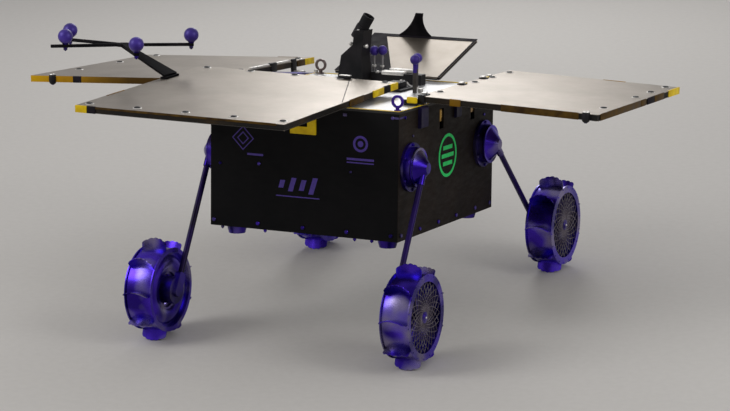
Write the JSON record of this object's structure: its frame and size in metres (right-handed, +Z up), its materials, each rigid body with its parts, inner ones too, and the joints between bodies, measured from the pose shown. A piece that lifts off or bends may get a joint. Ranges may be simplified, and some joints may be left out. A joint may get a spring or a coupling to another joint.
{
  "type": "planetary rover",
  "caption": "Small planetary rover: black box body, flat deck panels, swinging legs with paddled metal wheels, cable tower and tracking-marker rigs.",
  "frame": {"origin": "on the floor, under the middle of the rover's outline", "axes": "-Y ahead, +X the rover's left, +Z up from the floor the wheels stand on"},
  "size_m": [1.3332, 1.0124, 0.6043],
  "materials": {
    "black_body": "satin",
    "bright_sheet": "satin",
    "gold_film": "polished",
    "grey_block": "satin",
    "machined_metal": "satin",
    "polished_metal": "polished",
    "eye_steel": "satin",
    "yellow_tape": "satin",
    "black_housing": "matte",
    "black_rubber": "matte",
    "black_rod": "satin",
    "marker_coat": "matte",
    "black_tube": "satin",
    "wheel_metal": "polished",
    "lattice_metal": "satin",
    "panel_sheet": "brushed",
    "panel_edge": "satin",
    "black_clip": "satin"
  },
  "bodies": {
    "chassis": {"belly_feet": "machined_metal", "cable_gland": "black_rubber", "cable_tower": "black_housing", "connector_box": "black_housing", "deck_plate": "bright_sheet", "equipment_block": "grey_block", "floor_plate": "black_body", "front_panel_bracket": "yellow_tape", "front_panel_core": "panel_edge", "front_panel_pads": "machined_metal", "front_panel_skins": "panel_sheet", "front_wall": "black_body", "gold_liner": "gold_film", "left_panel_hinges": "black_clip", "left_wall": "black_body", "left_wall_brackets": "black_housing", "lifting_eyes": "eye_steel", "marker_balls": "marker_coat", "marker_posts": "black_rod", "marker_rig": "black_rod", "marker_rig_balls": "marker_coat", "rear_panel_hinges": "black_clip", "rear_wall": "black_body", "right_panel_arms": "machined_metal", "right_panel_core": "panel_edge", "right_panel_skins": "panel_sheet", "right_wall": "black_body", "shoulder_bases": "machined_metal"},
    "leg_front_left": {"leg_hood_front_left": "polished_metal", "leg_tube_front_left": "black_tube", "wheel_drive_front_left": "machined_metal"},
    "wheel_front_left": {"wheel_lattice_front_left": "lattice_metal", "wheel_rim_front_left": "wheel_metal"},
    "leg_front_right": {"leg_hood_front_right": "polished_metal", "leg_tube_front_right": "black_tube", "wheel_drive_front_right": "machined_metal"},
    "wheel_front_right": {"wheel_lattice_front_right": "lattice_metal", "wheel_rim_front_right": "wheel_metal"},
    "leg_rear_left": {"leg_hood_rear_left": "polished_metal", "leg_tube_rear_left": "black_tube", "wheel_drive_rear_left": "machined_metal"},
    "wheel_rear_left": {"wheel_lattice_rear_left": "lattice_metal", "wheel_rim_rear_left": "wheel_metal"},
    "leg_rear_right": {"leg_hood_rear_right": "polished_metal", "leg_tube_rear_right": "black_tube", "wheel_drive_rear_right": "machined_metal"},
    "wheel_rear_right": {"wheel_lattice_rear_right": "lattice_metal", "wheel_rim_rear_right": "wheel_metal"},
    "left_panel": {"left_panel_core": "panel_edge", "left_panel_leaves": "black_clip", "left_panel_skins": "panel_sheet"},
    "rear_panel": {"rear_panel_core": "panel_edge", "rear_panel_fin": "black_rod", "rear_panel_leaves": "black_clip", "rear_panel_skins": "panel_sheet"}
  },
  "joints": [
    {"name": "leg_swing_front_left", "type": "hinge", "parent": "chassis", "child": "leg_front_left", "pos_m": [0.2909, -0.17335, 0.35649], "axis": [-1, 0, 0], "range_deg": [-38, 52]},
    {"name": "wheel_spin_front_left", "type": "hinge", "parent": "leg_front_left", "child": "wheel_front_left", "pos_m": [0.3339, -0.34068, 0.10089], "axis": [1, 0, 0], "continuous": true},
    {"name": "leg_swing_front_right", "type": "hinge", "parent": "chassis", "child": "leg_front_right", "pos_m": [-0.1311, -0.17335, 0.35649], "axis": [-1, 0, 0], "range_deg": [-38, 52]},
    {"name": "wheel_spin_front_right", "type": "hinge", "parent": "leg_front_right", "child": "wheel_front_right", "pos_m": [-0.1741, -0.34068, 0.10089], "axis": [1, 0, 0], "continuous": true},
    {"name": "leg_swing_rear_left", "type": "hinge", "parent": "chassis", "child": "leg_rear_left", "pos_m": [0.2909, 0.19113, 0.32326], "axis": [1, 0, 0], "range_deg": [-58.5, 31.5]},
    {"name": "wheel_spin_rear_left", "type": "hinge", "parent": "leg_rear_left", "child": "wheel_rear_left", "pos_m": [0.3339, 0.40061, 0.10089], "axis": [1, 0, 0], "continuous": true},
    {"name": "leg_swing_rear_right", "type": "hinge", "parent": "chassis", "child": "leg_rear_right", "pos_m": [-0.1311, 0.19113, 0.32326], "axis": [1, 0, 0], "range_deg": [-58.5, 31.5]},
    {"name": "wheel_spin_rear_right", "type": "hinge", "parent": "leg_rear_right", "child": "wheel_rear_right", "pos_m": [-0.1741, 0.40061, 0.10089], "axis": [1, 0, 0], "continuous": true},
    {"name": "left_panel_fold", "type": "hinge", "parent": "chassis", "child": "left_panel", "pos_m": [0.2739, 0.13259, 0.45211], "axis": [0, -0.9959, 0.0908], "range_deg": [0, 80]},
    {"name": "rear_panel_fold", "type": "hinge", "parent": "chassis", "child": "rear_panel", "pos_m": [0.0549, 0.22113, 0.44303], "axis": [1, 0, 0], "range_deg": [-12, 60]}
  ]
}
